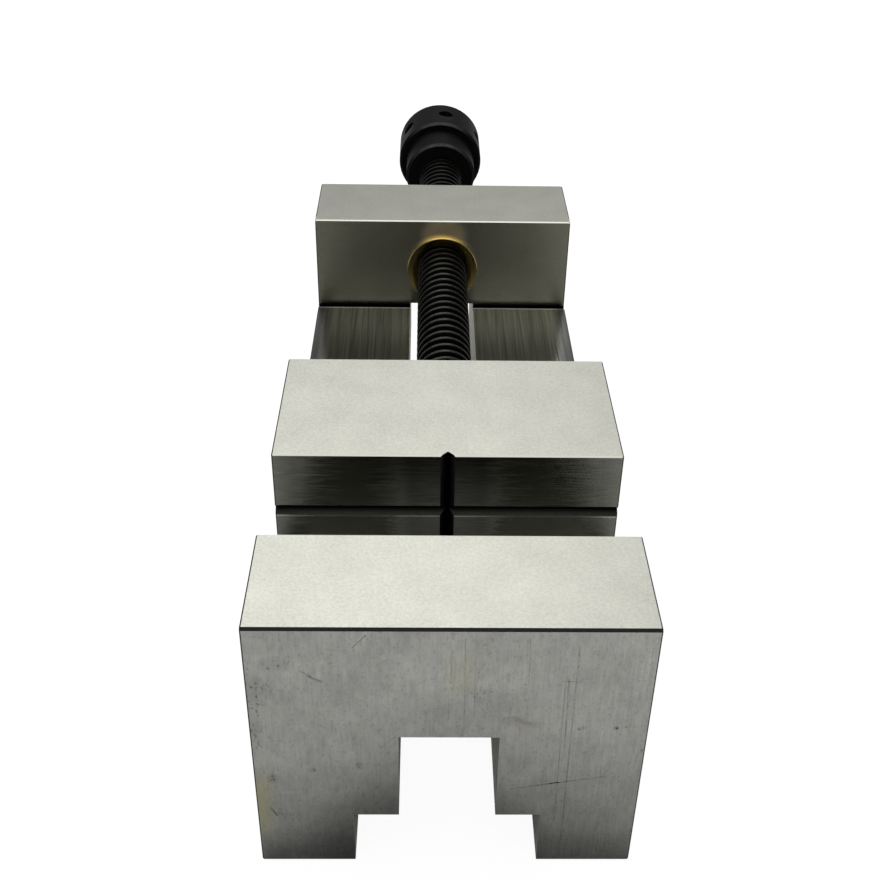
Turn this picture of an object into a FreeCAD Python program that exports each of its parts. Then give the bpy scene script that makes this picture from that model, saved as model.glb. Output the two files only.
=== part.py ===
"""Precision screw vise: a body in one piece, a jaw that slides on its bed and a screw in the rear block.

Lengths are in millimetres. X runs across the jaws, +Y from the fixed jaw to the knob, +Z up.
The origin is the middle of the whole length, on the underside.
"""

import FreeCAD, Part

import math
import os
import Sketcher

V = FreeCAD.Vector

# Driving dimensions
SIZES = [
    # Body: fixed jaw, bed and rear block
    ("body_length", 190),
    ("jaw_width", 73),
    ("jaw_top", 63),
    ("bed_top", 35.5),
    ("fixed_jaw_length", 25.2),
    ("rear_block_length", 25.8),
    ("rear_block_drop", 0.4),
    ("slot_width", 18.6),
    ("slot_rise", 0.4),
    ("channel_width", 36),
    ("channel_height", 14),
    ("jaw_relief_width", 2.5),
    ("block_relief_width", 2),
    ("relief_depth", 1.5),
    ("edge_chamfer", 0.3),
    ("front_chamfer", 0.5),
    # Round-ended pockets in the body's sides, for the toes of clamps
    ("clamp_slot_length", 36),
    ("clamp_slot_height", 9),
    ("clamp_slot_depth", 8),
    ("clamp_slot_level", 16),
    ("clamp_slot_inset", 20),
    # Sliding jaw, its tongue and the keeper plate under the bed
    ("opening", 25.2),
    ("sliding_jaw_length", 37.8),
    ("way_clearance", 0.05),
    ("vee_width", 3),
    ("cross_vee_width", 2.6),
    ("cross_vee_depth", 14.5),
    ("keeper_inset", 0.9),
    ("keeper_thickness", 10),
    ("keeper_side_clearance", 0.2),
    ("keeper_screw_diameter", 5),
    ("keeper_screw_length", 16),
    ("keeper_screw_spacing", 20),
    ("keeper_head_diameter", 8.5),
    ("keeper_head_height", 5),
    ("keeper_head_hex", 4),
    ("keeper_counterbore", 10),
    ("lock_washer_diameter", 9.2),
    ("lock_washer_thickness", 1.2),
    ("lock_washer_split", 0.8),
    ("hole_clearance", 0.25),
    ("tap_runout", 3),
    # Screw, its nut and what holds its nose in the jaw
    ("screw_depth", 15.6),
    ("thread_diameter", 14),
    ("thread_length", 143.35),
    ("shoulder_gap", 0.5),
    ("running_clearance", 0.05),
    ("nut_diameter", 20.3),
    ("nut_stand_out", 1),
    ("nut_rim_chamfer", 0.5),
    ("nut_mouth_diameter", 15.2),
    ("set_screw_diameter", 4),
    ("set_screw_length", 8),
    ("set_screw_hex", 2),
    ("set_screw_point", 0.5),
    ("nose_diameter", 11),
    ("nose_length", 18),
    ("nose_chamfer", 1),
    ("nose_groove_depth", 1.5),
    ("nose_groove_width", 4.3),
    ("nose_groove_place", 8),
    ("nose_pin_diameter", 4),
    ("nose_pin_length", 40),
    ("thrust_pad_thickness", 3),
    ("thrust_gap", 0.1),
    ("seat_clearance", 0.02),
    # Knob
    ("knob_seat_diameter", 10),
    ("knob_seat_length", 19),
    ("collar_diameter", 23.1),
    ("collar_length", 12.85),
    ("rim_diameter", 28.2),
    ("rim_length", 18.5),
    ("knob_chamfer", 0.8),
    ("tommy_hole_diameter", 5),
    ("tommy_hole_depth", 7),
    ("tommy_hole_place", 9.3),
    ("tommy_hole_count", 6),
    ("knob_hex", 8),
    ("knob_hex_depth", 8),
    ("knob_pin_diameter", 4),
    ("knob_pin_place", 6.5),
    ("rest_angle", 7.7),
]

# Places worked out from the driving dimensions, each measured from the body's front face and underside
PLACES = [
    ("jaw_face", "=dims.fixed_jaw_length + dims.opening"),
    ("jaw_back", "=jaw_face + dims.sliding_jaw_length"),
    ("block_face", "=dims.body_length - dims.rear_block_length"),
    ("screw_level", "=dims.jaw_top - dims.screw_depth"),
    ("keeper_length", "=dims.sliding_jaw_length - 2 * dims.keeper_inset"),
    ("keeper_top", "=dims.channel_height - dims.way_clearance"),
    ("keeper_bottom", "=keeper_top - dims.keeper_thickness"),
    ("collar_face", "=jaw_back + dims.shoulder_gap + dims.thread_length"),
    ("knob_length", "=dims.collar_length + dims.rim_length"),
    ("half_length", "=(collar_face + knob_length) / 2"),
    ("nose_bore_depth", "=dims.nose_length + dims.thrust_gap + dims.thrust_pad_thickness"),
    ("nose_groove_radius", "=dims.nose_diameter / 2 - dims.nose_groove_depth"),
    ("nose_pin_offset", "=nose_groove_radius + dims.running_clearance + dims.nose_pin_diameter / 2"),
    ("nose_pin_hole", "=dims.nose_pin_diameter / 2 + dims.seat_clearance"),
    ("head_seat_depth", "=dims.keeper_head_height + dims.lock_washer_thickness + dims.hole_clearance"),
    ("keeper_screw_reach", "=dims.keeper_screw_length + head_seat_depth - dims.keeper_thickness "
                           "- dims.lock_washer_thickness"),
]


def fill_sheet(doc, name, rows):
    """One named cell for each row."""
    sheet = doc.addObject("Spreadsheet::Sheet", name)
    for number, (alias, value) in enumerate(rows, 1):
        sheet.set(f"A{number}", alias)
        sheet.set(f"B{number}", str(value))
        sheet.setAlias(f"B{number}", alias)
    doc.recompute()
    return sheet


def new_body(doc, label, across="0", along="0", up="0"):
    """An empty body. Its origin is placed along from the vise's front face and up from its underside."""
    body = doc.addObject("PartDesign::Body", label)
    body.Label = label
    body.setExpression("Placement.Base.x", across)
    body.setExpression("Placement.Base.y", f"{along} - places.half_length")
    body.setExpression("Placement.Base.z", up)
    return body


def origin_feature(body, role):
    return [feature for feature in body.Origin.OriginFeatures if feature.Role == role][0]


def new_sketch(body, name, plane, offset):
    """A sketch on one of the body's origin planes, offset along that plane's normal."""
    sketch = body.newObject("Sketcher::SketchObject", name)
    sketch.AttachmentSupport = [(origin_feature(body, plane), "")]
    sketch.MapMode = "FlatFace"
    sketch.setExpression("AttachmentOffset.Base.z", offset)
    return sketch


def place_point(sketch, index, point, across, up):
    """Tie one point of a sketch's geometry to two expressions, measured from the sketch's origin."""
    for direction, expression in (("DistanceX", across), ("DistanceY", up)):
        value = float(sketch.evalExpression(expression))
        number = sketch.addConstraint(Sketcher.Constraint(direction, -1, 1, index, point, value))
        sketch.setExpression(f"Constraints[{number}]", expression)


def add_polygon(sketch, corners):
    """A closed outline of straight lines through corners, each a pair of expressions."""
    points = [V(*(float(sketch.evalExpression(value)) for value in corner), 0) for corner in corners]
    count = len(points)
    first = sketch.GeometryCount
    for index in range(count):
        sketch.addGeometry(Part.LineSegment(points[index], points[(index + 1) % count]), False)
    for index in range(count):
        following = (index + 1) % count
        sketch.addConstraint(Sketcher.Constraint("Coincident", first + index, 2, first + following, 1))
    for index, (across, up) in enumerate(corners):
        place_point(sketch, first + index, 1, across, up)


def add_circle(sketch, across, up, radius):
    centre = V(float(sketch.evalExpression(across)), float(sketch.evalExpression(up)), 0)
    value = float(sketch.evalExpression(radius))
    index = sketch.addGeometry(Part.Circle(centre, V(0, 0, 1), value), False)
    place_point(sketch, index, 3, across, up)
    number = sketch.addConstraint(Sketcher.Constraint("Radius", index, value))
    sketch.setExpression(f"Constraints[{number}]", radius)


def add_round_slot(sketch, start, end, level, radius):
    """A level slot with round ends, whose end arcs are centred at start and end."""
    wanted = (start, end, level, radius)
    left, right, middle, size = (float(sketch.evalExpression(value)) for value in wanted)
    ends = []
    for centre, first_angle in ((left, math.pi / 2), (right, -math.pi / 2)):
        circle = Part.Circle(V(centre, middle, 0), V(0, 0, 1), size)
        arc = Part.ArcOfCircle(circle, first_angle, first_angle + math.pi)
        ends.append(sketch.addGeometry(arc, False))
    low, high = middle - size, middle + size
    bottom = sketch.addGeometry(Part.LineSegment(V(left, low, 0), V(right, low, 0)), False)
    top = sketch.addGeometry(Part.LineSegment(V(right, high, 0), V(left, high, 0)), False)
    for arc, point, line, line_point in (
        (ends[0], 2, bottom, 1),
        (ends[1], 1, bottom, 2),
        (ends[1], 2, top, 1),
        (ends[0], 1, top, 2),
    ):
        sketch.addConstraint(Sketcher.Constraint("Tangent", arc, point, line, line_point))
    place_point(sketch, ends[0], 3, start, level)
    number = sketch.addConstraint(Sketcher.Constraint("DistanceX", -1, 1, ends[1], 3, right))
    sketch.setExpression(f"Constraints[{number}]", end)
    number = sketch.addConstraint(Sketcher.Constraint("Radius", ends[0], size))
    sketch.setExpression(f"Constraints[{number}]", radius)


def polygon(body, name, plane, corners, offset="0"):
    sketch = new_sketch(body, name, plane, offset)
    add_polygon(sketch, corners)
    return sketch


def rectangle(body, name, plane, low, high, offset="0"):
    """A rectangle between two opposite corners, each a pair of expressions."""
    corners = [low, (high[0], low[1]), high, (low[0], high[1])]
    return polygon(body, name, plane, corners, offset)


def circles(body, name, plane, centres, radius, offset="0"):
    sketch = new_sketch(body, name, plane, offset)
    for across, up in centres:
        add_circle(sketch, across, up, radius)
    return sketch


def hexagon_corners(across_flats, across="0", up="0"):
    radius = f"{across_flats} / 2 / cos(30 deg)"
    return [
        (f"{across} + {radius} * cos({60 * corner} deg)", f"{up} + {radius} * sin({60 * corner} deg)")
        for corner in range(6)
    ]


def hexagon(body, name, plane, across_flats, offset="0"):
    return polygon(body, name, plane, hexagon_corners(across_flats), offset)


def extrude(body, kind, name, sketch, length, reverse=False, both_ways=False):
    """A Pad or a Pocket of a sketch. A Pocket has to take something away."""
    before = body.Shape.Volume if kind == "Pocket" else 0
    feature = body.newObject(f"PartDesign::{kind}", name)
    feature.Profile = (sketch, [""])
    feature.setExpression("Length", length)
    feature.Reversed = reverse
    feature.SideType = "Symmetric" if both_ways else "One side"
    body.Document.recompute()
    if kind == "Pocket" and body.Shape.Volume >= before:
        raise RuntimeError(f"{name} cuts nothing")
    return feature


def revolve(body, name, sketch):
    """Turn a profile on the YZ plane about the body's own Y axis."""
    feature = body.newObject("PartDesign::Revolution", name)
    feature.Profile = (sketch, [""])
    feature.ReferenceAxis = (sketch, ["H_Axis"])
    feature.Angle = 360
    body.Document.recompute()
    return feature


def mirror(body, name, original):
    """Repeat a feature on the other side of the YZ plane."""
    feature = body.newObject("PartDesign::Mirrored", name)
    feature.Originals = [original]
    feature.MirrorPlane = (origin_feature(body, "YZ_Plane"), [""])
    body.Tip = feature
    body.Document.recompute()
    return feature


def chamfer(body, name, size, wanted):
    """Chamfer the edges for which wanted(edge) is true."""
    base = body.Tip
    edges = [f"Edge{number}" for number, edge in enumerate(base.Shape.Edges, 1) if wanted(edge)]
    feature = body.newObject("PartDesign::Chamfer", name)
    feature.Base = (base, edges)
    feature.setExpression("Size", size)
    body.Document.recompute()
    return feature


def make_vise_body(doc):
    """Fixed jaw, bed and rear block, milled from one block and ground."""
    body = new_body(doc, "vise_body")
    outline = [
        ("0", "0"),
        ("dims.body_length", "0"),
        ("dims.body_length", "dims.jaw_top - dims.rear_block_drop"),
        ("places.block_face", "dims.jaw_top - dims.rear_block_drop"),
        ("places.block_face", "dims.bed_top"),
        ("dims.fixed_jaw_length", "dims.bed_top"),
        ("dims.fixed_jaw_length", "dims.jaw_top"),
        ("0", "dims.jaw_top"),
    ]
    profile = polygon(body, "body_profile", "YZ_Plane", outline)
    extrude(body, "Pad", "block", profile, "dims.jaw_width", both_ways=True)

    bed = float(doc.dims.bed_top)
    jaw_foot = float(doc.dims.fixed_jaw_length)
    block_foot = float(doc.places.block_face)

    def lies_at(edge, along, up):
        """Is this an edge across the body at this place and level?"""
        box = edge.BoundBox
        return max(abs(box.YMin - along), abs(box.YMax - along), abs(box.ZMin - up), abs(box.ZMax - up)) < 1e-3

    top = float(doc.dims.jaw_top)
    wide = float(doc.dims.front_chamfer)
    chamfer(body, "front_edge", "dims.front_chamfer", lambda edge: lies_at(edge, 0, top))
    done = [(jaw_foot, bed), (block_foot, bed), (0, top - wide), (wide, top)]
    chamfer(body, "broken_edges", "dims.edge_chamfer",
            lambda edge: not any(lies_at(edge, along, up) for along, up in done))

    for name, start, end in (
        ("jaw_relief", "dims.fixed_jaw_length", "dims.fixed_jaw_length + dims.jaw_relief_width"),
        ("block_relief", "places.block_face - dims.block_relief_width", "places.block_face"),
    ):
        low = (start, "dims.bed_top - dims.relief_depth")
        high = (end, "dims.bed_top + dims.edge_chamfer")
        sketch = rectangle(body, f"{name}_profile", "YZ_Plane", low, high)
        extrude(body, "Pocket", name, sketch, "dims.jaw_width", both_ways=True)

    stepped = [
        ("-dims.channel_width / 2", "0"),
        ("dims.channel_width / 2", "0"),
        ("dims.channel_width / 2", "dims.channel_height"),
        ("dims.slot_width / 2", "dims.channel_height"),
        ("dims.slot_width / 2", "dims.bed_top + dims.slot_rise"),
        ("-dims.slot_width / 2", "dims.bed_top + dims.slot_rise"),
        ("-dims.slot_width / 2", "dims.channel_height"),
        ("-dims.channel_width / 2", "dims.channel_height"),
    ]
    sketch = polygon(body, "slot_profile", "XZ_Plane", stepped)
    extrude(body, "Pocket", "stepped_slot", sketch, "dims.body_length")

    radius = "dims.clamp_slot_height / 2"
    sketch = new_sketch(body, "clamp_slot_outlines", "YZ_Plane", "dims.jaw_width / 2")
    for start in (
        "dims.clamp_slot_inset",
        "dims.body_length - dims.clamp_slot_inset - dims.clamp_slot_length",
    ):
        near = f"{start} + {radius}"
        far = f"{start} + dims.clamp_slot_length - {radius}"
        add_round_slot(sketch, near, far, "dims.clamp_slot_level", radius)
    pocket = extrude(body, "Pocket", "clamp_slots", sketch, "dims.clamp_slot_depth")
    mirror(body, "clamp_slots_far_side", pocket)

    bore = circles(body, "nut_bore_circle", "XZ_Plane", [("0", "places.screw_level")],
                   "dims.nut_diameter / 2 + dims.seat_clearance", "-dims.body_length")
    extrude(body, "Pocket", "nut_bore", bore, "dims.rear_block_length", reverse=True)
    key = circles(body, "set_screw_circle", "XZ_Plane", [("dims.nut_diameter / 2", "places.screw_level")],
                  "dims.set_screw_diameter / 2 + dims.seat_clearance", "-dims.body_length")
    extrude(body, "Pocket", "set_screw_hole", key, "dims.set_screw_length", reverse=True)
    return body


def make_screw_nut(doc):
    """Brass nut, screwed into the rear block from the jaw's side."""
    body = new_body(doc, "screw_nut", along="places.block_face", up="places.screw_level")
    outer = "dims.nut_diameter / 2"
    inner = "dims.thread_diameter / 2 + dims.running_clearance"
    front = "-dims.nut_stand_out"
    mouth = "dims.nut_mouth_diameter / 2"
    outline = [
        (f"{front} + {mouth} - ({inner})", inner),
        (front, mouth),
        (front, f"{outer} - dims.nut_rim_chamfer"),
        (f"{front} + dims.nut_rim_chamfer", outer),
        ("dims.rear_block_length", outer),
        ("dims.rear_block_length", inner),
    ]
    revolve(body, "nut", polygon(body, "nut_profile", "YZ_Plane", outline))
    key = circles(body, "set_screw_circle", "XZ_Plane", [(outer, "0")],
                  "dims.set_screw_diameter / 2 + dims.seat_clearance", "-dims.rear_block_length")
    extrude(body, "Pocket", "set_screw_hole", key, "dims.set_screw_length", reverse=True)
    return body


def make_nut_set_screw(doc):
    """Grub screw on the joint line between nut and block, which keeps the nut from turning."""
    body = new_body(doc, "nut_set_screw", "dims.nut_diameter / 2", "dims.body_length", "places.screw_level")
    radius = "dims.set_screw_diameter / 2"
    outline = [
        ("-dims.set_screw_length", "0"),
        ("-dims.set_screw_length", f"{radius} - dims.set_screw_point"),
        ("-dims.set_screw_length + dims.set_screw_point", radius),
        ("0", radius),
        ("0", "0"),
    ]
    revolve(body, "grub", polygon(body, "grub_profile", "YZ_Plane", outline))
    socket = hexagon(body, "socket_outline", "XZ_Plane", "dims.set_screw_hex")
    extrude(body, "Pocket", "socket", socket, "dims.set_screw_hex", reverse=True)
    return body


def make_movable_jaw(doc):
    """Sliding jaw with a tongue that fills the bed's slot, and crossed vee grooves in its face."""
    body = new_body(doc, "movable_jaw", along="places.jaw_face")
    foot = "dims.bed_top + dims.way_clearance"
    length = "dims.sliding_jaw_length"
    side = rectangle(body, "jaw_profile", "YZ_Plane", ("0", foot), (length, "dims.jaw_top"))
    extrude(body, "Pad", "jaw_block", side, "dims.jaw_width", both_ways=True)
    chamfer(body, "broken_edges", "dims.edge_chamfer", lambda edge: True)
    tongue = rectangle(body, "tongue_profile", "YZ_Plane", ("0", "places.keeper_top"),
                       (length, f"{foot} + dims.edge_chamfer"))
    extrude(body, "Pad", "tongue", tongue, "dims.slot_width - 2 * dims.way_clearance", both_ways=True)

    upright = [
        ("-dims.vee_width / 2", "0"),
        ("0", "dims.vee_width / 2"),
        ("dims.vee_width / 2", "0"),
    ]
    sketch = polygon(body, "vee_profile", "XY_Plane", upright, "dims.jaw_top")
    extrude(body, "Pocket", "upright_vee", sketch, "dims.jaw_top - places.keeper_top")
    level = "dims.jaw_top - dims.cross_vee_depth"
    across = [
        ("0", f"{level} - dims.cross_vee_width / 2"),
        ("dims.cross_vee_width / 2", level),
        ("0", f"{level} + dims.cross_vee_width / 2"),
    ]
    sketch = polygon(body, "cross_vee_profile", "YZ_Plane", across)
    extrude(body, "Pocket", "cross_vee", sketch, "dims.jaw_width", both_ways=True)

    nose = circles(body, "nose_bore_circle", "XZ_Plane", [("0", "places.screw_level")],
                   "dims.nose_diameter / 2 + dims.running_clearance", f"-{length}")
    extrude(body, "Pocket", "nose_bore", nose, "places.nose_bore_depth", reverse=True)
    place = f"{length} - dims.nose_groove_place"
    pins = circles(body, "pin_circles", "XY_Plane",
                   [("-places.nose_pin_offset", place), ("places.nose_pin_offset", place)],
                   "places.nose_pin_hole", "places.keeper_top")
    extrude(body, "Pocket", "pin_holes", pins, "dims.nose_pin_length + dims.hole_clearance", reverse=True)
    taps = circles(body, "tapped_hole_circles", "XY_Plane", keeper_screw_centres(length),
                   "dims.keeper_screw_diameter / 2 + dims.seat_clearance", "places.keeper_top")
    extrude(body, "Pocket", "tapped_holes", taps,
            "places.keeper_screw_reach + dims.tap_runout", reverse=True)
    return body


def keeper_screw_centres(length):
    """The two keeper screws stand on the centre line, the same distance each side of the middle."""
    return [("0", f"{length} / 2 + {side} * dims.keeper_screw_spacing / 2") for side in (-1, 1)]


def make_keeper_plate(doc):
    """Plate under the bed that the tongue carries, which keeps the jaw from lifting."""
    body = new_body(doc, "keeper_plate", along="places.jaw_face + dims.keeper_inset",
                    up="places.keeper_bottom")
    half = "(dims.channel_width / 2 - dims.keeper_side_clearance)"
    plan = rectangle(body, "plate_plan", "XY_Plane", (f"-{half}", "0"), (half, "places.keeper_length"))
    extrude(body, "Pad", "plate", plan, "dims.keeper_thickness")
    chamfer(body, "broken_edges", "dims.edge_chamfer", lambda edge: True)
    centres = keeper_screw_centres("places.keeper_length")
    through = circles(body, "clearance_circles", "XY_Plane", centres,
                      "dims.keeper_screw_diameter / 2 + dims.hole_clearance")
    extrude(body, "Pocket", "clearance_holes", through, "dims.keeper_thickness", reverse=True)
    seats = circles(body, "counterbore_circles", "XY_Plane", centres, "dims.keeper_counterbore / 2")
    extrude(body, "Pocket", "counterbores", seats, "places.head_seat_depth", reverse=True)
    return body


def make_keeper_screws(doc):
    """Two socket head screws, from below through the keeper plate into the tongue."""
    body = new_body(doc, "keeper_screws", along="places.jaw_face",
                    up="places.keeper_bottom + dims.hole_clearance")
    body.AllowCompound = True
    centres = keeper_screw_centres("dims.sliding_jaw_length")
    heads = circles(body, "head_circles", "XY_Plane", centres, "dims.keeper_head_diameter / 2")
    extrude(body, "Pad", "heads", heads, "dims.keeper_head_height")
    shanks = circles(body, "shank_circles", "XY_Plane", centres, "dims.keeper_screw_diameter / 2")
    extrude(body, "Pad", "shanks", shanks, "dims.keeper_head_height + dims.keeper_screw_length")
    sockets = new_sketch(body, "socket_outlines", "XY_Plane", "0")
    for across, along in centres:
        add_polygon(sockets, hexagon_corners("dims.keeper_head_hex", across, along))
    extrude(body, "Pocket", "sockets", sockets, "dims.keeper_head_height / 2", reverse=True)
    return body


def make_keeper_lock_washers(doc):
    """Split spring washers under the two screw heads."""
    body = new_body(doc, "keeper_lock_washers", along="places.jaw_face",
                    up="places.keeper_bottom + places.head_seat_depth - dims.lock_washer_thickness")
    body.AllowCompound = True
    centres = keeper_screw_centres("dims.sliding_jaw_length")
    bore = "(dims.keeper_screw_diameter / 2 + dims.seat_clearance)"
    rings = circles(body, "ring_circles", "XY_Plane", centres, "dims.lock_washer_diameter / 2")
    for across, along in centres:
        add_circle(rings, across, along, bore)
    extrude(body, "Pad", "rings", rings, "dims.lock_washer_thickness")
    splits = new_sketch(body, "split_outlines", "XY_Plane", "0")
    for across, along in centres:
        add_polygon(splits, [
            (across, f"{along} - dims.lock_washer_split / 2"),
            ("dims.lock_washer_diameter", f"{along} - dims.lock_washer_split / 2"),
            ("dims.lock_washer_diameter", f"{along} + dims.lock_washer_split / 2"),
            (across, f"{along} + dims.lock_washer_split / 2"),
        ])
    extrude(body, "Pocket", "splits", splits, "dims.lock_washer_thickness", reverse=True)
    return body


def make_nose_pin(doc, label, side):
    """Pin beside the screw's nose, in the nose's groove, which draws the jaw back with the screw."""
    body = new_body(doc, label, f"{side} * places.nose_pin_offset",
                    "places.jaw_back - dims.nose_groove_place", "places.keeper_top")
    circle = circles(body, "pin_circle", "XY_Plane", [("0", "0")], "dims.nose_pin_diameter / 2")
    extrude(body, "Pad", "pin", circle, "dims.nose_pin_length")
    return body


def make_thrust_pad(doc):
    """Hardened disc at the bottom of the jaw's bore, which the screw's nose pushes on."""
    body = new_body(doc, "thrust_pad", along="places.jaw_back - places.nose_bore_depth",
                    up="places.screw_level")
    circle = circles(body, "pad_circle", "XZ_Plane", [("0", "0")], "dims.nose_diameter / 2")
    extrude(body, "Pad", "disc", circle, "dims.thrust_pad_thickness", reverse=True)
    return body


def turn_with_screw(body):
    """The screw and what is fixed to it stand at the same angle about the screw's axis."""
    body.Placement = FreeCAD.Placement(body.Placement.Base, FreeCAD.Rotation(V(0, 1, 0), 1))
    body.setExpression("Placement.Rotation.Angle", "dims.rest_angle")


def make_lead_screw(doc):
    """Screw with a grooved nose for the jaw and a turned-down seat for the knob."""
    body = new_body(doc, "lead_screw", along="places.jaw_back", up="places.screw_level")
    nose = "dims.nose_diameter / 2"
    groove_start = "-dims.nose_groove_place - dims.nose_groove_width / 2"
    groove_end = "-dims.nose_groove_place + dims.nose_groove_width / 2"
    thread = "dims.thread_diameter / 2"
    thread_end = "dims.shoulder_gap + dims.thread_length"
    seat_end = f"{thread_end} + dims.knob_seat_length - dims.hole_clearance"
    outline = [
        ("-dims.nose_length", "0"),
        ("-dims.nose_length", f"{nose} - dims.nose_chamfer"),
        ("-dims.nose_length + dims.nose_chamfer", nose),
        (groove_start, nose),
        (groove_start, "places.nose_groove_radius"),
        (groove_end, "places.nose_groove_radius"),
        (groove_end, nose),
        ("dims.shoulder_gap", nose),
        ("dims.shoulder_gap", f"{thread} - dims.nose_chamfer"),
        ("dims.shoulder_gap + dims.nose_chamfer", thread),
        (thread_end, thread),
        (thread_end, "dims.knob_seat_diameter / 2"),
        (seat_end, "dims.knob_seat_diameter / 2"),
        (seat_end, "0"),
    ]
    revolve(body, "screw", polygon(body, "screw_profile", "YZ_Plane", outline))
    hole = circles(body, "pin_circle", "YZ_Plane", [(f"{thread_end} + dims.knob_pin_place", "0")],
                   "dims.knob_pin_diameter / 2 + dims.seat_clearance")
    extrude(body, "Pocket", "pin_hole", hole, "dims.thread_diameter", both_ways=True)
    turn_with_screw(body)
    return body


def make_knob(doc):
    """Knob with a collar, six holes round its rim for a bar and a hexagon socket in its end."""
    body = new_body(doc, "knob", along="places.collar_face", up="places.screw_level")
    bore = "dims.knob_seat_diameter / 2 + dims.seat_clearance"
    collar = "dims.collar_diameter / 2"
    rim = "dims.rim_diameter / 2"
    outline = [
        ("0", bore),
        ("0", f"{collar} - dims.knob_chamfer"),
        ("dims.knob_chamfer", collar),
        ("dims.collar_length", collar),
        ("dims.collar_length", f"{rim} - dims.knob_chamfer"),
        ("dims.collar_length + dims.knob_chamfer", rim),
        ("places.knob_length - dims.knob_chamfer", rim),
        ("places.knob_length", f"{rim} - dims.knob_chamfer"),
        ("places.knob_length", "0"),
        ("dims.knob_seat_length", "0"),
        ("dims.knob_seat_length", bore),
    ]
    revolve(body, "turned_knob", polygon(body, "knob_profile", "YZ_Plane", outline))
    socket = hexagon(body, "socket_outline", "XZ_Plane", "dims.knob_hex", "-places.knob_length")
    extrude(body, "Pocket", "socket", socket, "dims.knob_hex_depth", reverse=True)
    cross = circles(body, "pin_circle", "YZ_Plane", [("dims.knob_pin_place", "0")],
                    "dims.knob_pin_diameter / 2 + dims.seat_clearance")
    extrude(body, "Pocket", "pin_hole", cross, "dims.rim_diameter", both_ways=True)
    first = circles(body, "tommy_circle", "XY_Plane", [("0", "places.knob_length - dims.tommy_hole_place")],
                    "dims.tommy_hole_diameter / 2", rim)
    hole = extrude(body, "Pocket", "tommy_hole", first, "dims.tommy_hole_depth")
    ring = body.newObject("PartDesign::PolarPattern", "tommy_holes")
    ring.Originals = [hole]
    ring.Axis = (origin_feature(body, "Y_Axis"), [""])
    ring.Angle = 360
    ring.setExpression("Occurrences", "dims.tommy_hole_count")
    body.Tip = ring
    doc.recompute()
    turn_with_screw(body)
    return body


def make_knob_pin(doc):
    """Cross pin through the collar and the screw's end."""
    body = new_body(doc, "knob_pin", along="places.collar_face + dims.knob_pin_place",
                    up="places.screw_level")
    circle = circles(body, "pin_circle", "YZ_Plane", [("0", "0")], "dims.knob_pin_diameter / 2")
    extrude(body, "Pad", "pin", circle, "dims.collar_diameter - 2 * dims.hole_clearance", both_ways=True)
    turn_with_screw(body)
    return body


def check_document(doc, bodies):
    """Stop if any object failed to compute or any piece isn't a sound solid."""
    for thing in doc.Objects:
        if "Invalid" in thing.State or "Error" in thing.State:
            raise RuntimeError(f"{thing.Label} did not compute")
    for body in bodies:
        if body.Shape.isNull() or not body.Shape.isValid() or not body.Shape.Solids:
            raise RuntimeError(f"{body.Label} is not a sound solid")


doc = FreeCAD.newDocument("screw_vise")
fill_sheet(doc, "dims", SIZES)
fill_sheet(doc, "places", PLACES)
bodies = [
    make_vise_body(doc),
    make_screw_nut(doc),
    make_nut_set_screw(doc),
    make_movable_jaw(doc),
    make_keeper_plate(doc),
    make_keeper_screws(doc),
    make_keeper_lock_washers(doc),
    make_nose_pin(doc, "left_nose_pin", -1),
    make_nose_pin(doc, "right_nose_pin", 1),
    make_thrust_pad(doc),
    make_lead_screw(doc),
    make_knob(doc),
    make_knob_pin(doc),
]
doc.recompute()
check_document(doc, bodies)

os.makedirs("parts", exist_ok=True)
for body in bodies:
    body.Shape.exportStep(f"parts/{body.Label}.step")
    box = body.Shape.BoundBox
    print(f"{body.Label}: {len(body.Shape.Solids)} solid(s), {body.Shape.Volume:.0f} mm3,"
          f" Y {box.YMin:.2f} to {box.YMax:.2f}, Z {box.ZMin:.2f} to {box.ZMax:.2f}")
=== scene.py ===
"""A small precision screw vise of ground steel, with a brass nut and a black screw and knob.

Lengths are in metres: X across the jaws, +Y from the fixed jaw to the knob, +Z up.
"""

from math import cos, pi, radians, sin

import bpy
from mathutils import Matrix, Vector


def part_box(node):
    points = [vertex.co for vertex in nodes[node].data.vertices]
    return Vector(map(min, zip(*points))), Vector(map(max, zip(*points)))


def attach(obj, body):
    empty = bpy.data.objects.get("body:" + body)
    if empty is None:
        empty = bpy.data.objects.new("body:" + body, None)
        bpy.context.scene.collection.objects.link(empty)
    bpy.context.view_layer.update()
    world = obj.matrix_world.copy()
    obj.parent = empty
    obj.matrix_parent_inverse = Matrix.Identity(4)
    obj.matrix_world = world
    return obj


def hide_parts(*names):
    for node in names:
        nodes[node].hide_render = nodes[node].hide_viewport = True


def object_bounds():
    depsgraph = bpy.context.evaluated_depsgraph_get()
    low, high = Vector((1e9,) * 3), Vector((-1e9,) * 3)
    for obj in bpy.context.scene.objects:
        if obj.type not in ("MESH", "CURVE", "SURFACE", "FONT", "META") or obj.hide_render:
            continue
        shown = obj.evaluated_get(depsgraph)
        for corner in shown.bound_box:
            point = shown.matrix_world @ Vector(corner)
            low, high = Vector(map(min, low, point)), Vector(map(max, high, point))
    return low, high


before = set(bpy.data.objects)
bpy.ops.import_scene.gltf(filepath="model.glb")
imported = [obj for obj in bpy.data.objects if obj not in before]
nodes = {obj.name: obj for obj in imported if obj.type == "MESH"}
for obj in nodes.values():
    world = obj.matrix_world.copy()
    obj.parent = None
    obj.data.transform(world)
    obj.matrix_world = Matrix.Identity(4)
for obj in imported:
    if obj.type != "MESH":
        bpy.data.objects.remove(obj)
cad_low, cad_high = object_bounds()
MM = 0.001

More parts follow.
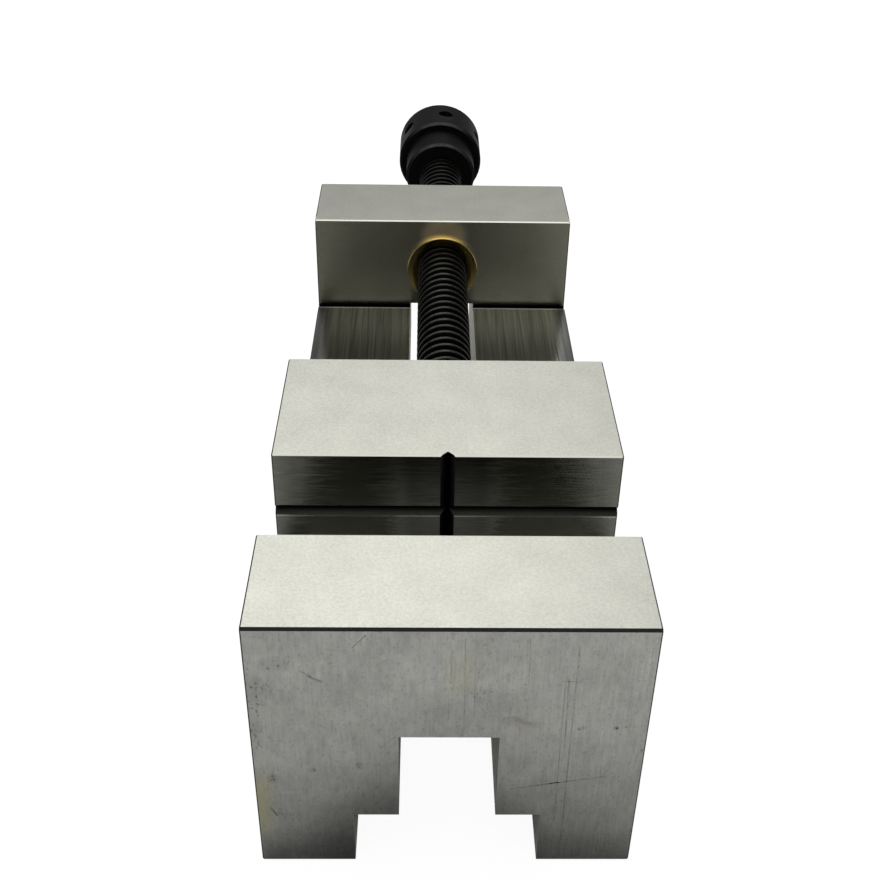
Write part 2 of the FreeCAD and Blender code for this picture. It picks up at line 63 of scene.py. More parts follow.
# Camera
# A long lens from in front and above, a little to the left of the middle, tipped by about a degree.
# The photograph is cropped, so its optical axis lies above the middle of the picture.
photo_side = 893
focal_pixels = 1207.27
axis_row = 389
camera_data = bpy.data.cameras.new("photo_camera")
camera_data.sensor_width = 36
camera_data.lens = focal_pixels / photo_side * camera_data.sensor_width
camera_data.shift_y = (axis_row - photo_side / 2) / photo_side
camera = bpy.data.objects.new("photo_camera", camera_data)
bpy.context.collection.objects.link(camera)
fixed_jaw_front = cad_low.y
jaw_top = cad_high.z
camera_place = Vector((-5.18 * MM, fixed_jaw_front - 150.88 * MM, jaw_top + 147.21 * MM))
heading, downward, tip = 1.30, 33.01, 1.14
camera_turn = (
    Matrix.Rotation(radians(-heading), 4, "Z")
    @ Matrix.Rotation(radians(90 - downward), 4, "X")
    @ Matrix.Rotation(radians(tip), 4, "Z")
)
camera.matrix_world = Matrix.Translation(camera_place) @ camera_turn
bpy.context.scene.camera = camera
bpy.context.scene.view_settings.view_transform = "Standard"


# Studio
# A pale table, wide soft lights behind, above and in front, and a dim surround that is brighter behind.
# The camera sees the surround as white and the table as almost white, with the vise's faint shadow on it.
class Value:
    """A number or a colour on its way through a finish, on which sums are written as expressions."""

    def __init__(self, finish, socket):
        self.finish = finish
        self.socket = socket

    def __add__(self, other):
        return self.finish.sum("ADD", self, other)

    def __sub__(self, other):
        return self.finish.sum("SUBTRACT", self, other)

    def __rsub__(self, other):
        return self.finish.sum("SUBTRACT", other, self)

    def __mul__(self, other):
        return self.finish.sum("MULTIPLY", self, other)

    def __pow__(self, other):
        return self.finish.sum("POWER", self, other)

    def __gt__(self, other):
        return self.finish.sum("GREATER_THAN", self, other)

    def __lt__(self, other):
        return self.finish.sum("LESS_THAN", self, other)

    def __abs__(self):
        return self.finish.sum("ABSOLUTE", self)

    __radd__ = __add__
    __rmul__ = __mul__


class Finish:
    """A material or the surround, built from nodes."""

    def __init__(self, owner, output_kind="ShaderNodeOutputMaterial"):
        owner.use_nodes = True
        self.tree = owner.node_tree
        self.tree.nodes.clear()
        self.output = self.tree.nodes.new(output_kind)

    def node(self, kind, settings=None, inputs=None, output=0):
        """One node: its settings first, then values or links for its inputs. Returns one of its outputs."""
        made = self.tree.nodes.new(kind)
        for name, setting in (settings or {}).items():
            setattr(made, name, setting)
        for name, value in (inputs or {}).items():
            self.feed(made.inputs[name], value)
        return Value(self, made.outputs[output])

    def feed(self, socket, value):
        if isinstance(value, Value):
            self.tree.links.new(value.socket, socket)
        else:
            socket.default_value = value

    def sum(self, operation, first, second=0.0):
        return self.node("ShaderNodeMath", {"operation": operation}, {0: first, 1: second})

    def mix(self, factor, first, second):
        """Blend two colours by a factor. The node keeps its colours at inputs 6 and 7 and output 2."""
        return self.node("ShaderNodeMix", {"data_type": "RGBA"}, {0: factor, 6: first, 7: second}, 2)

    def finish_with(self, surface):
        self.tree.links.new(surface.socket, self.output.inputs["Surface"])


vise_middle = Vector((0, 0, 0.03))


def soft_box(name, place, width, depth, power):
    """A wide soft light at place, turned towards the vise."""
    lamp = bpy.data.lights.new(name, "AREA")
    lamp.shape = "RECTANGLE"
    lamp.size = width
    lamp.size_y = depth
    lamp.energy = power
    box = bpy.data.objects.new(name, lamp)
    bpy.context.collection.objects.link(box)
    box.location = place
    box.rotation_euler = (vise_middle - Vector(place)).to_track_quat("-Z", "Y").to_euler()


soft_box("back_light", (-0.47, 1.1, 1.35), 2.2, 1.1, 11)
soft_box("top_light", (0, 0.2, 1.7), 1.2, 0.8, 4)
soft_box("front_light", (0, -0.8, 1.15), 1.6, 1.1, 4)
soft_box("low_front_light", (0, -1.5, 0.72), 1.4, 0.5, 1)

surround = bpy.data.worlds.new("surround")
bpy.context.scene.world = surround
sky = Finish(surround, "ShaderNodeOutputWorld")
seen = sky.node("ShaderNodeLightPath", output=0)
direction = sky.node("ShaderNodeTexCoord", output=0)
backwards = sky.node("ShaderNodeSeparateXYZ", None, {0: direction}, 1)
dim = sky.mix(backwards * 0.5 + 0.5, (0.12, 0.12, 0.12, 1), (0.34, 0.34, 0.34, 1))
level = sky.mix(seen, dim, (1, 1, 1, 1))
sky.finish_with(sky.node("ShaderNodeBackground", None, {"Color": level, "Strength": 1.0}))

table_size = 6
table_drop = 0.02 * MM
bpy.ops.mesh.primitive_plane_add(size=table_size, location=(0, 0, -table_drop))
table = bpy.context.object
table.name = "table"
table_material = bpy.data.materials.new("pale_table")
paint = Finish(table_material)
seen = paint.node("ShaderNodeLightPath", output=0)
matt = paint.node("ShaderNodeBsdfDiffuse", None, {"Color": (0.78, 0.78, 0.77, 1)})
white = paint.node("ShaderNodeEmission", None, {"Color": (1, 1, 1, 1), "Strength": 0.93})
shaded = paint.node("ShaderNodeBsdfDiffuse", None, {"Color": (0.2, 0.2, 0.2, 1)})
lit = paint.node("ShaderNodeAddShader", None, {0: white, 1: shaded})
paint.finish_with(paint.node("ShaderNodeMixShader", None, {0: seen, 1: matt, 2: lit}))
table.data.materials.append(table_material)


# Vise body
# One block of tool steel: fixed jaw, bed and rear block are milled from it, hardened, and ground outside.
# Chamfers, grooves, slots and bores keep the dark skin of hardening. The front end is stained and scored.
object_place, object_facing = 3, 1  # outputs of the Texture Coordinate node


class SteelFinish(Finish):
    """Ground steel: how a face looks depends on which way it faces and where it lies, in millimetres."""

    def __init__(self, name):
        self.material = bpy.data.materials.new(name)
        super().__init__(self.material)
        place = self.node("ShaderNodeTexCoord", output=object_place)
        facing = self.node("ShaderNodeTexCoord", output=object_facing)
        self.place = self.node("ShaderNodeVectorMath", {"operation": "SCALE"}, {0: place, 3: 1 / MM})
        self.x, self.y, self.z = (
            self.node("ShaderNodeSeparateXYZ", None, {0: self.place}, axis) for axis in range(3)
        )
        turn = [abs(self.node("ShaderNodeSeparateXYZ", None, {0: facing}, axis)) for axis in range(3)]
        self.side, self.end, self.level = (part > 0.95 for part in turn)
        self.slanted = 1 - self.side - self.end - self.level
        self.across = turn[0]
        self.tilt = turn[1]

    def noise(self, fineness, detail):
        """Noise with its own fineness along each axis, in marks per millimetre."""
        place = self.node("ShaderNodeVectorMath", {"operation": "MULTIPLY"}, {0: self.place, 1: fineness})
        return self.node("ShaderNodeTexNoise", None, {"Vector": place, "Scale": 1.0, "Detail": detail})

    def fade(self, value, start, end):
        """1 up to start, then smoothly down to 0 at end. With start above end it runs the other way."""
        ends = {"Value": value, "From Min": start, "From Max": end, "To Min": 1.0, "To Max": 0.0}
        return self.node("ShaderNodeMapRange", {"interpolation_type": "SMOOTHSTEP"}, ends)

    def from_axis(self):
        """Distance from the screw's axis."""
        above = self.z - screw_height / MM
        return (self.x * self.x + above * above) ** 0.5

    def spot(self, x, z, width, height):
        """A soft oval on the faces that look along the screw."""
        across = (self.x - x) * (2 / width)
        up = (self.z - z) * (2 / height)
        return self.fade(across * across + up * up, 0.1, 1.0)

    def scratch(self, start, end, width):
        """A straight scratch on the front end, from start to end, each an X and a Z."""
        run, rise = end[0] - start[0], end[1] - start[1]
        across, up = self.x - start[0], self.z - start[1]
        along = self.node(
            "ShaderNodeMath",
            {"operation": "MULTIPLY_ADD", "use_clamp": True},
            {0: across * run + up * rise, 1: 1 / (run * run + rise * rise), 2: 0.0},
        )
        beside, above = across - along * run, up - along * rise
        return self.fade(beside * beside + above * above, (width / 4) ** 2, (width / 2) ** 2)

    def grey(self, level, tint=(1, 1, 0.89, 1)):
        """A grey of this level, a little warm."""
        return self.mix(level, (0, 0, 0, 1), tint)

    def relief(self, strength, height):
        """Bumps of up to two hundredths of a millimetre."""
        bumps = {"Strength": strength, "Distance": 0.02 * MM, "Height": height}
        return self.node("ShaderNodeBump", None, bumps)

    def steel(self, colour, roughness, height):
        """Join colour, roughness and relief into the metal."""
        self.finish_with(self.node("ShaderNodeBsdfPrincipled", None, {
            "Base Color": colour,
            "Metallic": 1.0,
            "Roughness": roughness,
            "Normal": self.relief(0.35, height),
        }))
        return self.material


front_end = cad_low.y / MM
fixed_jaw_back = front_end + 25.2
block_front = front_end + 164.2
bed_height = 35.5
nut_low, nut_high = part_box("screw_nut")
screw_height = (nut_low.z + nut_high.z) / 2
body = SteelFinish("ground_body")
grain = body.noise((1.9, 1.9, 1.9), 4.0)
blotches = body.noise((0.11, 0.11, 0.13), 5.0)
scuffs = body.noise((0.9, 0.9, 0.45), 5.0)
pits = body.noise((1.9, 1.9, 1.3), 2.0)
upright_brush = body.noise((3.2, 1.0, 0.14), 6.0)
level_brush = body.noise((0.16, 0.16, 5.5), 3.0)
fine_brush = body.noise((0.06, 0.06, 26.0), 2.0)
lengthwise_brush = body.noise((1.8, 0.03, 1.0), 4.0)
side_brush = body.noise((1.0, 0.025, 2.6), 4.0)
front = body.end * (body.y < front_end + 1)
jaw_face = body.end * (body.y < fixed_jaw_back + 6.5) - front
block_face = body.end * (body.y > 0) * (body.y < block_front + 7.5)
rear = body.end - front - jaw_face - block_face
# Honed chamfers along the rear block's top front edge: bare metal, painted near white as a painted
# highlight.
honed_with_painted_highlight = body.slanted * (body.z > 62) * (body.y > block_front - 2.5) * (body.y < block_front + 2.5)
raised = body.level * (body.z > bed_height + 1)
bed = body.level - raised
groove = (1 - body.side) * (body.z > bed_height - 3) * (body.z < bed_height - 0.05)
groove = groove * (body.y > front_end + 0.7) * (body.y < block_front + 25.5)
# A painted highlight: a thin light strip across the bed just in front of the rear block, rougher as well.
painted_lip_highlight = bed * (body.z > bed_height - 0.1) * (body.y > block_front - 2.6) * (body.y < block_front - 2.1)
# The bed's outer edges are rougher from rubbing, and are painted darker, a painted shade.
rubbed_and_painted_dark = bed * body.fade(abs(body.x), 35.8, 31.0)
right = body.fade(body.x, 26.0, 4.0)
# Painted light from the brass on the block above the nut: a wide painted glow, and a painted halo close to
# the rim.
painted_glow = body.spot(0.3, 58.0, 18, 18) ** 3 * block_face
painted_halo = body.fade(body.from_axis(), 10.2, 11.6) * body.fade(body.z, 57.0, 54.0) * block_face
dulled = body.spot(0.3, 58.0, 60, 30) * block_face

# The bed is painted lighter to the right and darker towards the front, a painted shade.
bed_level = bed * (0.02 + lengthwise_brush * 0.43) * (1 + body.x * 0.005)
bed_level = bed_level * (1.48 - body.fade(body.y, 2, 22) * 0.76)
front_streaks = upright_brush * (0.20 + right * 0.08)
front_level = front * (0.20 + front_streaks + blotches * 0.25 + scuffs * (0.27 - right * 0.08))
# The block's face is painted lighter to the right, and brighter in the painted glow and halo.
block_level = block_face * (0.225 + level_brush * 0.05 + grain * 0.08)
block_level = block_level * (1 + body.x * 0.003) * (1 + painted_glow * 1.7 + painted_halo * 0.5)
level = (
    raised * (0.30 + grain * 0.32 + blotches * 0.14)
    + bed_level
    + painted_lip_highlight * 0.6
    + front_level
    + block_level
    + jaw_face * 0.36
    + rear * (0.42 + upright_brush * 0.16)
    + body.side * (0.32 + side_brush * 0.26 + blotches * 0.16)
    + body.slanted * (0.018 + grain * 0.02)
    + honed_with_painted_highlight
)
# Painted shade: the raised top behind the middle, the rear block's, is painted a third darker.
level = level * (1 - raised * (body.y > 0) * 0.32) * (1 - groove * 0.9) * (1 - rubbed_and_painted_dark * 0.66)
# The front end is painted darker downwards, most at the feet and round the slot's left side, a painted
# shade. It is also painted lighter to the right and in an oval high in the middle, a painted light.
low = body.fade(body.z, 2.0, 42.0)
painted_shade_at_feet = body.fade(body.z, 0.0, 13.0)
from_slot = body.x + 4
painted_shade_by_slot = body.fade(from_slot * from_slot * 0.0015 + body.z * body.z * 0.0011, 0.3, 1.1)
level = level * (1 + front * body.x * 0.0018) * (1 - front * low * 0.38)
level = level * (1 - front * painted_shade_at_feet * 0.44) * (1 - front * painted_shade_by_slot * 0.46)
level = level * (1 + front * body.spot(3.0, 53.0, 34, 22) * 0.09)
# Scratches on the front end, each with its two ends, its width and its depth of tone.
worn_through = body.fade(scuffs, 0.56, 0.44)
scratches = sum(body.scratch(start, end, width) * depth for start, end, width, depth in (
    ((-26.6, 52.9), (-24.6, 51.6), 0.4, 0.4),
    ((-25.2, 51.6), (-22.9, 50.3), 0.6, 0.5),
    ((-17.2, 58.6), (-14.8, 61.6), 0.3, 0.5),
    ((-12.6, 33.0), (-9.6, 36.4), 0.3, 0.4),
    ((-33.9, 16.0), (-32.8, 13.8), 0.6, 0.7),
    ((0.2, 58.0), (0.0, 50.0), 0.3, 0.4),
    ((2.4, 61.0), (2.7, 38.0), 0.3, 0.35),
    ((4.2, 57.0), (4.4, 44.0), 0.3, 0.3),
    ((13.6, 61.0), (13.9, 50.0), 0.3, 0.3),
    ((20.4, 50.0), (20.8, 12.0), 0.3, 0.35),
    ((21.0, 51.0), (21.4, 33.0), 0.35, 0.45),
    ((22.3, 59.0), (22.5, 2.0), 0.35, 0.4),
    ((19.8, 50.6), (23.2, 50.4), 0.3, 0.5),
    ((12.0, 21.6), (30.0, 25.3), 0.3, 0.6),
    ((15.5, 22.4), (21.0, 23.5), 0.4, 0.6),
))
level = level * (1 - front * scratches * (0.25 + worn_through * 0.55))
# Dull spots on it, each with its place, width, height and depth of tone. Pits gather in them.
spots = sum(body.spot(*place) * depth for *place, depth in (
    (-31.0, 54.5, 7.0, 4.5, 0.22),
    (-34.0, 48.5, 5.0, 9.0, 0.20),
    (-35.4, 42.0, 3.0, 28.0, 0.20),
    (-33.0, 24.6, 3.0, 3.5, 0.30),
    (-16.8, 28.2, 1.5, 2.5, 0.40),
    (-25.5, 26.8, 2.5, 1.6, 0.25),
    (6.0, 47.0, 6.0, 5.0, 0.14),
    (24.0, 38.4, 2.0, 1.4, 0.35),
    (30.5, 38.5, 1.5, 1.3, 0.75),
    (32.4, 38.8, 1.0, 0.9, 0.50),
    (35.8, 32.5, 0.6, 0.9, 0.90),
))
pitted = body.fade(pits, 0.34, 0.44) * (0.3 + spots * 2.5)
level = level * (1 - front * spots * 0.5) * (1 - front * pitted * 0.5)
tint = body.mix(front, (1, 1, 0.89, 1), (1, 1, 0.95, 1))
tint = body.mix(bed, tint, (1, 1, 0.93, 1))
colour = body.grey(level, body.mix(block_face, tint, (1, 0.98, 0.78, 1)))
yellow_stain = body.spot(1.8, 52.5, 8, 14) * 0.15
rust_places = (11.8, 40.4, 6.5, 2.8), (15.4, 39.4, 5.0, 2.2), (31.2, 2.9, 2.6, 1.6)
rust = sum(body.spot(*place) for place in rust_places) * (0.1 + body.fade(scuffs, 0.60, 0.45) * 0.35)
oil = body.fade(body.x, -35.5, -32.0) * body.fade(body.z, 20.0, 29.0) * body.fade(body.z, 12.0, 6.0)
colour = body.mix(front * yellow_stain, colour, (0.60, 0.56, 0.24, 1))
# The painted glow and halo are painted gold, a painted light from the brass.
colour = body.mix(painted_glow * 0.6, colour, (1.0, 0.78, 0.42, 1))
colour = body.mix(painted_halo * 0.4, colour, (1.0, 0.78, 0.26, 1))
colour = body.mix(front * rust, colour, (0.22, 0.17, 0.10, 1))
colour = body.mix(front * oil * (0.1 + scuffs * 0.7), colour, (0.46, 0.43, 0.18, 1))
roughness = (
    raised * (0.30 + grain * 0.14)
    + bed * (0.09 + lengthwise_brush * 0.08)
    + painted_lip_highlight * 0.35
    + rubbed_and_painted_dark * 0.2
    + front * (0.28 + upright_brush * 0.12 + scuffs * 0.06)
    + block_face * (0.27 + level_brush * 0.05 + dulled * 0.08)
    + jaw_face * 0.15
    + rear * 0.28
    + body.side * (0.22 + side_brush * 0.14)
    + body.slanted * 0.45
    - honed_with_painted_highlight * 0.2
)
height = (
    raised * grain
    + bed * lengthwise_brush * 3
    + (front + rear) * upright_brush
    + block_face * fine_brush * 3
    + jaw_face * fine_brush * 4
    + body.side * side_brush * 2
    + body.slanted * grain
)
nodes["vise_body"].material_slots[0].material = body.steel(colour, roughness, height)

# Movable jaw
# A hardened block with a tongue in the bed's slot, ground all over, with the finest grain across its face.
# The two crossed vee grooves in the face are milled before hardening, so they are almost black.
jaw = SteelFinish("ground_jaw")
grain = jaw.noise((1.9, 1.9, 1.9), 4.0)
level_brush = jaw.noise((0.16, 0.16, 5.5), 3.0)
fine_brush = jaw.noise((0.06, 0.06, 26.0), 2.0)
side_brush = jaw.noise((1.0, 0.025, 2.6), 4.0)
blotches = jaw.noise((0.11, 0.11, 0.13), 5.0)
jaw_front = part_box("movable_jaw")[0].y / MM
face = jaw.end * (jaw.y < jaw_front + 1)
back = jaw.end - face
groove_lip = 47.2
# Painted shade on the face: a little darker at its sides, and darker in its middle by the vee.
painted_shade_at_sides = jaw.fade(abs(jaw.x), 32.5, 31.0)
painted_dark_middle = jaw.fade(abs(jaw.x), 7.0, 11.0)
# Honed chamfers along the top edges that run across: bare metal, painted bright as a painted highlight.
honed_with_painted_highlight = jaw.slanted * (jaw.across < 0.1) * (jaw.z > 62)
level = (
    jaw.level * (0.275 + grain * 0.30 + blotches * 0.13)
    # The face is painted lighter to the right, and darker at its sides and in its middle, a painted shade.
    + face * (0.31 + level_brush * 0.02 - painted_shade_at_sides * 0.04) * (1 + jaw.x * 0.0022)
    - face * painted_dark_middle * 0.17
    # A painted highlight: a thin light line just below the cross groove.
    + face * (jaw.z < groove_lip) * (jaw.z > groove_lip - 0.35) * 0.3
    + back * (0.44 + level_brush * 0.16)
    + jaw.side * (0.32 + side_brush * 0.26 + blotches * 0.16)
    # Slanted faces keep the dark skin, and are painted darker further back from the face, deep in the
    # grooves: a painted shade.
    + jaw.slanted * (0.003 + jaw.fade(jaw.y - jaw_front, 0.0, 1.3) * (0.015 + grain * 0.04))
    + honed_with_painted_highlight * 0.9
)
roughness = (
    jaw.level * (0.30 + grain * 0.14)
    + face * 0.13
    + back * 0.26
    + jaw.side * (0.22 + side_brush * 0.14)
    + jaw.slanted * 0.45
)
height = (
    (jaw.level + jaw.slanted) * grain
    + face * fine_brush * 3
    + back * level_brush
    + jaw.side * side_brush * 2
)
nodes["movable_jaw"].material_slots[0].material = jaw.steel(jaw.grey(level), roughness, height)

# Keeper plate, its screws and their washers
# The plate hangs under the jaw's tongue and is ground to slide. Two black socket screws hold it from below.
# Split spring washers under their heads keep the running fit that the screws are set to.
plate = SteelFinish("ground_keeper")
lengthwise_brush = plate.noise((5.5, 0.16, 5.5), 3.0)
level = 0.40 + lengthwise_brush * 0.18 - plate.slanted * 0.3
nodes["keeper_plate"].material_slots[0].material = plate.steel(
    plate.grey(level), 0.24 + lengthwise_brush * 0.12, lengthwise_brush
)

oxide = SteelFinish("black_oxide")
specks = oxide.noise((4.0, 4.0, 4.0), 3.0)
level = 0.035 + specks * 0.03 + oxide.slanted * 0.02
black_screws = oxide.steel(oxide.grey(level), 0.32 + specks * 0.15, specks)
nodes["keeper_screws"].material_slots[0].material = black_screws
nodes["nut_set_screw"].material_slots[0].material = black_screws

spring = SteelFinish("spring_steel")
specks = spring.noise((3.0, 3.0, 3.0), 3.0)
nodes["keeper_lock_washers"].material_slots[0].material = spring.steel(
    spring.grey(0.30 + specks * 0.2), 0.3 + specks * 0.1, specks
)

# Nose pins and thrust pad
# Two ground dowels beside the screw's grooved nose pull the jaw back, and a hardened disc takes its push.
# All are ground while they turn, so fine rings run round them, as on the knob's cross pin.
dowel = SteelFinish("ground_dowel")
rings = dowel.noise((0.3, 0.3, 6.0), 3.0)
dowel_steel = dowel.steel(dowel.grey(0.5 + rings * 0.15), 0.2 + rings * 0.1, rings)
for name in ("left_nose_pin", "right_nose_pin", "thrust_pad", "knob_pin"):
    nodes[name].material_slots[0].material = dowel_steel


# Screw nut
# A turned brass nut in the rear block, kept from turning by a grub screw, with its rim standing out.
# The rim is polished by wiping, and the face keeps rings from the lathe. Both end faces are painted almost
# black, a painted shade.
def turned(name, points, height, rounding, steps=96):
    """A turned piece about a lengthwise axis at this height: its half profile is drawn and spun round.

    Each point is a place along the axis and a radius, in millimetres, and the profile is closed.
    """
    bpy.ops.object.select_all(action="DESELECT")
    bpy.ops.mesh.primitive_plane_add(size=MM)
    piece = bpy.context.object
    piece.name = name
    bpy.ops.object.mode_set(mode="EDIT")
    bpy.ops.mesh.merge(type="CENTER")
    along, radius = points[0]
    bpy.ops.transform.translate(value=(0, along * MM, height + radius * MM))
    for (last_along, last_radius), (along, radius) in zip(points, points[1:] + points[:1]):
        step = (0, (along - last_along) * MM, (radius - last_radius) * MM)
        bpy.ops.mesh.extrude_region_move(TRANSFORM_OT_translate={"value": step})
    bpy.ops.mesh.select_all(action="SELECT")
    bpy.ops.mesh.remove_doubles(threshold=0.001 * MM)
    bpy.ops.mesh.spin(steps=steps, angle=2 * pi, center=(0, 0, height), axis=(0, 1, 0))
    bpy.ops.mesh.select_all(action="SELECT")
    bpy.ops.mesh.remove_doubles(threshold=0.001 * MM)
    bpy.ops.mesh.normals_make_consistent(inside=False)
    bpy.ops.object.mode_set(mode="OBJECT")
    soften(piece, rounding)
    return piece


def soften(piece, rounding):
    """Round every sharp edge by this many millimetres, and smooth the rest."""
    bpy.ops.object.select_all(action="DESELECT")
    piece.select_set(True)
    bpy.context.view_layer.objects.active = piece
    if rounding:
        edges = piece.modifiers.new("rounding", "BEVEL")
        edges.width = rounding * MM
        edges.segments = 3
        edges.limit_method = "ANGLE"
        edges.angle_limit = radians(30)
        edges.use_clamp_overlap = True
        bpy.ops.object.modifier_apply(modifier=edges.name)
    bpy.ops.object.shade_smooth_by_angle(angle=radians(32))


nut_front, nut_back = nut_low.y / MM, nut_high.y / MM
nut_radius = 20.3 / 2
mouth_radius = 14.5 / 2
thread_bore = 14.1 / 2
nut = turned("brass_nut", [
    (nut_front + mouth_radius - thread_bore, thread_bore),
    (nut_front, mouth_radius),
    (nut_front, nut_radius),
    (nut_back, nut_radius),
    (nut_back, thread_bore),
], screw_height, 0.4)
brass = SteelFinish("turned_brass")
rings_per_mm = 7.0
ring_place = brass.node(
    "ShaderNodeCombineXYZ", None, {"X": brass.from_axis() * rings_per_mm, "Y": brass.y * rings_per_mm}
)
rings = brass.node("ShaderNodeTexNoise", None, {"Vector": ring_place, "Scale": 1.0, "Detail": 2.0})
tarnish = brass.noise((0.5, 0.5, 0.5), 3.0)
colour = brass.mix(tarnish * 0.6, (1.0, 0.82, 0.40, 1), (0.86, 0.66, 0.28, 1))
# The end faces are painted almost black, a painted shade.
colour = brass.mix(brass.end * 0.86, colour, (0.08, 0.05, 0.003, 1))
nut.data.materials.append(brass.steel(colour, 0.12 + rings * 0.10, rings))
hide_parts("screw_nut")
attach(nut, "frame")

# Lead screw
# A black steel screw with one start of trapezoidal thread, 14 mm with 8 turns an inch, up to the knob.
# The thread's crests are rubbed to bare grey. A grooved nose turns in the jaw, and a seat carries the knob.
pitch = 3.175
crest_radius = 14.0 / 2
root_radius = 10.5 / 2
crest_width = 0.85
flank_width = 0.5
root_width = pitch - crest_width - 2 * flank_width
jaw_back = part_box("movable_jaw")[1].y / MM
thread_start = jaw_back + 0.5
collar_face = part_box("knob")[0].y / MM
turns = 50
bpy.ops.object.select_all(action="DESELECT")
bpy.ops.mesh.primitive_plane_add(size=MM)
thread = bpy.context.object
thread.name = "screw_thread"
bpy.ops.object.mode_set(mode="EDIT")
bpy.ops.mesh.merge(type="CENTER")
bpy.ops.transform.translate(value=(0, 0, crest_radius * MM))
drop = crest_radius - root_radius
for along, out in ((crest_width, 0), (flank_width, -drop), (root_width, 0), (flank_width, drop)):
    bpy.ops.mesh.extrude_region_move(TRANSFORM_OT_translate={"value": (0, along * MM, out * MM)})
bpy.ops.object.mode_set(mode="OBJECT")
helix = thread.modifiers.new("helix", "SCREW")
helix.axis = "Y"
helix.angle = 2 * pi
helix.screw_offset = pitch * MM
helix.iterations = turns
helix.steps = helix.render_steps = 40
helix.use_merge_vertices = True
helix.merge_threshold = 0.001 * MM
bpy.ops.object.modifier_apply(modifier=helix.name)
thread.location = (0, (thread_start - 1.5 * pitch) * MM, screw_height)
bpy.ops.object.transform_apply(location=True, rotation=False, scale=False)
bpy.ops.object.mode_set(mode="EDIT")
for place, outwards in ((thread_start, -1), (collar_face, 1)):
    bpy.ops.mesh.select_all(action="SELECT")
    bpy.ops.mesh.bisect(
        plane_co=(0, place * MM, screw_height),
        plane_no=(0, outwards, 0),
        use_fill=True,
        clear_outer=True,
    )
bpy.ops.mesh.select_all(action="SELECT")
bpy.ops.mesh.remove_doubles(threshold=0.001 * MM)
bpy.ops.mesh.normals_make_consistent(inside=False)
bpy.ops.object.mode_set(mode="OBJECT")
soften(thread, 0.12)

screw_low, screw_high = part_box("lead_screw")
nose_end, seat_end = screw_low.y / MM, screw_high.y / MM
nose_radius = 11.0 / 2
nose_chamfer = 1.0
groove_radius = 8.0 / 2
groove_start, groove_end = jaw_back - 10.15, jaw_back - 5.85
core_radius = root_radius - 0.05
seat_radius = 10.0 / 2
core = turned("screw_core", [
    (nose_end, 0),
    (nose_end, nose_radius - nose_chamfer),
    (nose_end + nose_chamfer, nose_radius),
    (groove_start, nose_radius),
    (groove_start, groove_radius),
    (groove_end, groove_radius),
    (groove_end, nose_radius),
    (thread_start, nose_radius),
    (thread_start + 0.3, core_radius),
    (collar_face - 1, core_radius),
    (collar_face - 1, seat_radius),
    (seat_end, seat_radius),
    (seat_end, 0),
], screw_height, 0.15, 64)
bpy.ops.object.select_all(action="DESELECT")
core.select_set(True)
thread.select_set(True)
bpy.context.view_layer.objects.active = thread
bpy.ops.object.join()
black = SteelFinish("black_thread")
crest = black.fade(black.from_axis(), crest_radius - 0.05, crest_radius - 0.3)
wear = black.noise((0.8, 0.8, 0.8), 4.0)
# The crests behind the rear block are painted darker, a painted shadow.
clear_of_painted_shadow = black.fade(black.y, 55.0, 75.0)
level = 0.002 + wear * 0.004 + crest * (0.005 + wear * 0.08) * (0.25 + clear_of_painted_shadow * 0.75)
thread.data.materials.append(black.steel(black.grey(level), 0.3 + wear * 0.2, wear))
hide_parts("lead_screw")
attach(thread, "spindle")

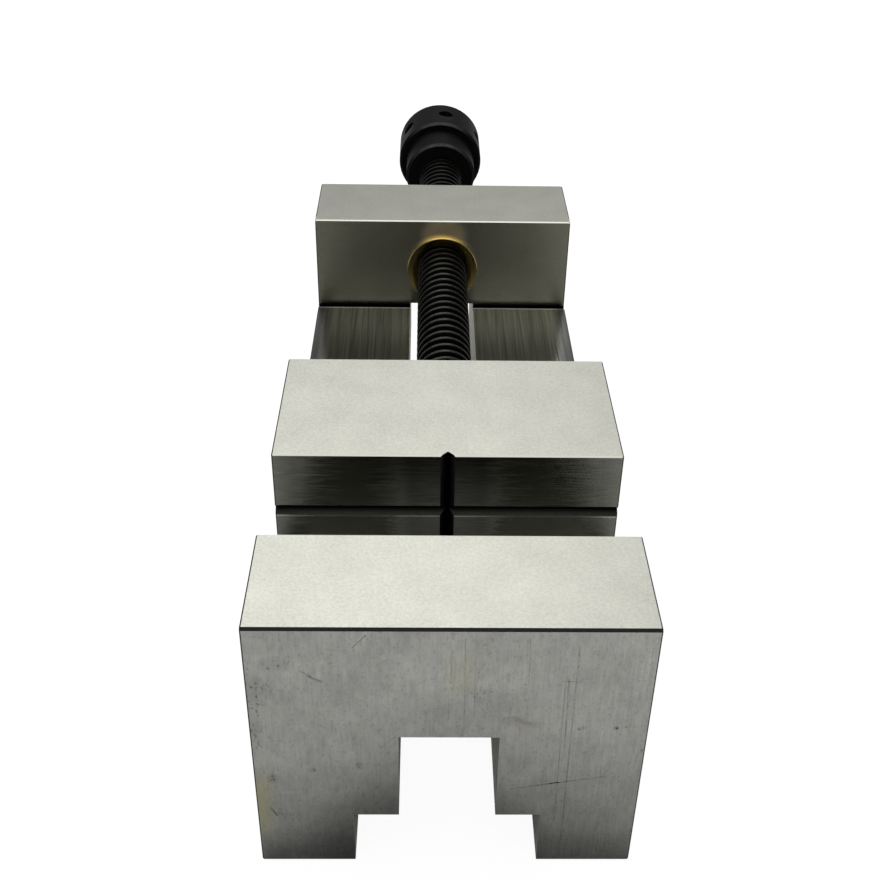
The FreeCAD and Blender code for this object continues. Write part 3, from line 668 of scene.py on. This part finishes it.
# Knob
# A turned knob of blackened steel: a collar, and a wider rim with six holes round it for a bar.
# Its end has a hexagon socket for a key. A cross pin through the collar fixes it to the screw.
knob_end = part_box("knob")[1].y / MM
rim_length = 18.5
rim_start = knob_end - rim_length
collar_radius = 23.1 / 2
rim_radius = 28.2 / 2
edge = 0.8
knob = turned("knob_body", [
    (collar_face, 0),
    (collar_face, collar_radius - edge),
    (collar_face + edge, collar_radius),
    (rim_start, collar_radius),
    (rim_start, rim_radius - edge),
    (rim_start + edge, rim_radius),
    (knob_end - edge, rim_radius),
    (knob_end, rim_radius - edge),
    (knob_end, 0),
], screw_height, 0, 120)
hole_count = 6
hole_radius = 5.0 / 2
hole_depth = 7.0
hole_place = knob_end - 9.3
rest_angle = 7.7
socket_width = 8.0
socket_depth = 8.0
cutters = []
for turn in range(hole_count):
    angle = radians(rest_angle + turn * 360 / hole_count)
    outward = Vector((sin(angle), 0, cos(angle)))
    tilt = outward.to_track_quat("Z", "Y").to_euler()
    axis_point = Vector((0, hole_place * MM, screw_height))
    bpy.ops.object.select_all(action="DESELECT")
    bpy.ops.mesh.primitive_cylinder_add(
        vertices=40,
        radius=hole_radius * MM,
        depth=2 * hole_depth * MM,
        location=axis_point + outward * rim_radius * MM,
        rotation=tilt,
    )
    cutters.append(bpy.context.object)
bpy.ops.object.select_all(action="DESELECT")
bpy.ops.mesh.primitive_cylinder_add(
    vertices=6,
    radius=socket_width / 2 / cos(radians(30)) * MM,
    depth=2 * socket_depth * MM,
    location=(0, knob_end * MM, screw_height),
    rotation=(radians(90), radians(rest_angle), 0),
)
cutters.append(bpy.context.object)
for cutter in cutters:
    bpy.ops.object.select_all(action="DESELECT")
    knob.select_set(True)
    bpy.context.view_layer.objects.active = knob
    cut = knob.modifiers.new("cut", "BOOLEAN")
    cut.object = cutter
    cut.solver = "EXACT"
    bpy.ops.object.modifier_apply(modifier=cut.name)
    bpy.data.objects.remove(cutter)
soften(knob, 0.25)
satin = SteelFinish("satin_black")
rings = satin.noise((0.1, 6.0, 0.1), 2.0)
dust_and_sheen = satin.noise((0.7, 0.7, 0.7), 5.0)
# Painted highlights: the rounded corners of the collar and rim are painted lighter, most at their top and
# bottom.
corner_starts = collar_face, rim_start, knob_end - edge
corners = sum((satin.y > start) * (satin.y < start + edge) for start in corner_starts)
edges = corners * (satin.tilt > 0.12) * (satin.tilt < 0.8)
level = 0.002 + dust_and_sheen * 0.005 + edges * (0.03 + dust_and_sheen * 0.09) * satin.fade(abs(satin.x), 2.0, 12.0)
shade = satin.grey(level, (1, 1, 0.98, 1))
satin.finish_with(satin.node("ShaderNodeBsdfPrincipled", None, {
    "Base Color": shade,
    "Metallic": 0.0,
    "Specular IOR Level": 0.035,
    "Roughness": 0.36 + rings * 0.12,
    "Normal": satin.relief(0.2, rings),
}))
knob.data.materials.append(satin.material)
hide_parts("knob")
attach(knob, "spindle")
